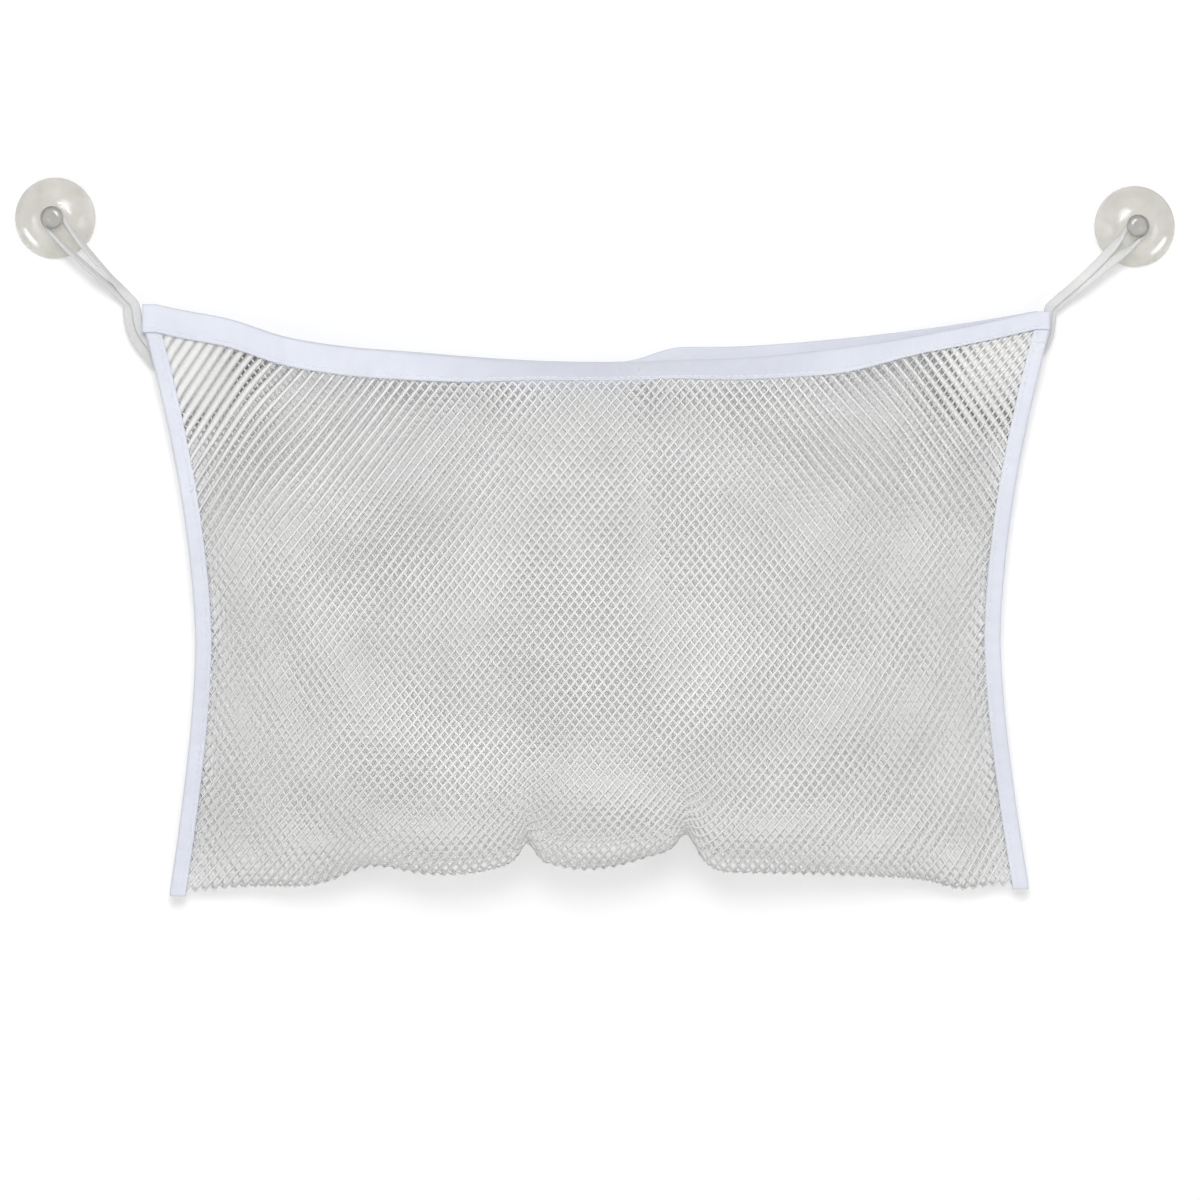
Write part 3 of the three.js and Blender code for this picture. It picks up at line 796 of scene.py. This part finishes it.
vinylMat = vinylMaterial("clearVinyl", clearVinyl)
for mat, pieces in [(netMat, [frontNet, backNet]),
                    (tapeMat, [frontBand, backBand, leftBinding, rightBinding]),
                    (threadMat, [frontSeam, backSeam, leftSeam, rightSeam, leftTack, rightTack]),
                    (cordMat, [leftLoop, rightLoop]),
                    (vinylMat, [leftCup, rightCup])]:
    for piece in pieces:
        piece.data.materials.append(mat)
print("materials made")

# the studio, in metres: aim is the middle of the bag, which most lamps point at
studio = {
    "half": 1.3, "floorZ": -0.62, "floorFront": -1.3, "floorBack": 0.45, "wallY": 0.0015, "wallTop": 1.1,
    "paint": (0.86, 0.86, 0.86, 1), "paintRough": 0.9, "white": (1, 1, 1, 1), "glow": 0.17, "world": 0.44,
    "aim": (0, 0, -0.18),
}


# 1 for the kinds of ray that are named, and 0 for all others
def rayMask(tree, *kinds):
    rays = addNode(tree, "LightPath")
    mask = rays.outputs[kinds[0]]
    for kind in kinds[1:]:
        mask = addMath(tree, "MAXIMUM", mask, rays.outputs[kind])
    return mask


# white paint that glows a little for the camera and for gloss, so that it shows white and keeps its shadows
def paint(name):
    mat, tree, shader = newMaterial(name)
    seen = rayMask(tree, "Is Camera Ray", "Is Glossy Ray")
    feed(tree, shader, {
        "Base Color": studio["paint"], "Roughness": studio["paintRough"], "Emission Color": studio["white"],
        "Emission Strength": addMath(tree, "MULTIPLY", seen, studio["glow"]),
    })
    return mat, tree, shader


# one flat four-cornered sheet of the studio
def addBackdrop(name, corners, mat):
    mesh = bpy.data.meshes.new(name)
    mesh.from_pydata(corners, [], [(0, 1, 2, 3)])
    mesh.materials.append(mat)
    obj = addObject(name, mesh)
    return obj


# pale floor well under the bag
def addFloor():
    half, z = studio["half"], studio["floorZ"]
    front, back = studio["floorFront"], studio["floorBack"]
    corners = [(-half, front, z), (half, front, z), (half, back, z), (-half, back, z)]
    addBackdrop("floor", corners, paint("floorPaint")[0])


# white wall that the cups are stuck on, seen from the front alone: it takes the bag's shadow
# and leaves the light on the bag as it is
def addWall():
    mat, tree, shader = paint("wallPaint")
    behind = addNode(tree, "NewGeometry").outputs["Backfacing"]
    clear = addNode(tree, "BsdfTransparent")
    mixed = addNode(tree, "MixShader", {0: behind, 1: shader.outputs[0], 2: clear.outputs[0]})
    feed(tree, tree.nodes["Material Output"], {"Surface": mixed.outputs[0]})
    half, y, low, high = studio["half"], studio["wallY"], studio["floorZ"], studio["wallTop"]
    obj = addBackdrop("wall", [(-half, y, low), (half, y, low), (half, y, high), (-half, y, high)], mat)
    obj.visible_diffuse = obj.visible_shadow = obj.visible_transmission = False


# soft light all round, which the camera, gloss and clear vinyl see as plain white
def addWorld():
    world = bpy.data.worlds.new("studio")
    bpy.context.scene.world = world
    world.use_nodes = True
    tree = world.node_tree
    tree.nodes.clear()
    seen = rayMask(tree, "Is Camera Ray", "Is Glossy Ray", "Is Transmission Ray")
    soft = addNode(tree, "Background", {"Color": studio["white"], "Strength": studio["world"]})
    plain = addNode(tree, "Background", {"Color": studio["white"], "Strength": 1.0})
    mixed = addNode(tree, "MixShader", {0: seen, 1: soft.outputs[0], 2: plain.outputs[0]})
    addNode(tree, "OutputWorld", {"Surface": mixed.outputs[0]})


addFloor()
addWall()
addWorld()

# lamps: places and sizes in metres, power in watts, turns in degrees
lamps = {
    "key": {"at": (-0.02, -1.7, 0.55), "size": (0.6, 0.6), "power": 15.2},
    "left": {"at": (-1.7, -1.3, -0.35), "size": (0.6, 1.0), "power": 5.0},
    "right": {"at": (1.7, -1.3, -0.35), "size": (0.6, 1.0), "power": 5.0},
    "back": {"at": (0.3, 1.6, 0.5), "size": (0.8, 0.8), "power": 8.0},
    "gleam": {"at": (0, -0.72, 0.32), "aim": (0, 0, 0), "size": (0.36, 0.46), "power": 3.2,
              "glossOnly": True},
}
# a narrow lamp beside each cup, for the bright crescent on its dome; given for the right one
strip = {"at": (0.815, -0.145, -0.378), "aim": (0.281, 0, -0.011), "size": (0.45, 0.09), "power": 0.18,
         "roll": 76.2, "spread": 60.0, "glossOnly": True}


# an oblong area lamp that points at its aim and is itself never seen; some light nothing but gloss
def addLamp(name, at, size, power, aim=studio["aim"], roll=0.0, spread=180.0, glossOnly=False):
    data = bpy.data.lights.new(name, "AREA")
    data.shape = "RECTANGLE"
    data.size, data.size_y = size
    data.energy = power
    data.spread = math.radians(spread)
    obj = addObject(name, data)
    obj.location = at
    facing = (Vector(aim) - Vector(at)).to_track_quat("-Z", "Y")
    obj.rotation_euler = (facing @ Quaternion((0, 0, 1), math.radians(roll))).to_euler()
    obj.visible_diffuse = not glossOnly
    obj.visible_camera = obj.visible_transmission = False


for name, lamp in lamps.items():
    addLamp(name, **lamp)
for side in (-1, 1):
    mirrored = {key: (side * strip[key][0], *strip[key][1:]) for key in ("at", "aim")}
    addLamp("strip", **dict(strip, roll=side * strip["roll"], **mirrored))

# camera: metres, degrees, and lens and film width in millimetres
camera = {"aim": (0.00275, -0.009, -0.1882), "distance": 2.248, "elevation": 4.0, "roll": -0.45,
          "lens": 135.0, "film": 36.0, "clip": (0.05, 50.0)}


# a camera straight in front of the wall, a little above its aim
def addCamera():
    data = bpy.data.cameras.new("photoCamera")
    data.lens, data.sensor_width = camera["lens"], camera["film"]
    data.clip_start, data.clip_end = camera["clip"]
    obj = addObject("photoCamera", data)
    lift = math.radians(camera["elevation"])
    back = Vector((0, -math.cos(lift), math.sin(lift)))
    obj.location = Vector(camera["aim"]) + camera["distance"] * back
    obj.rotation_euler = (math.pi / 2 - lift, math.radians(camera["roll"]), 0)
    bpy.context.scene.camera = obj


addCamera()
bpy.context.scene.view_settings.view_transform = "Standard"
print("scene set")
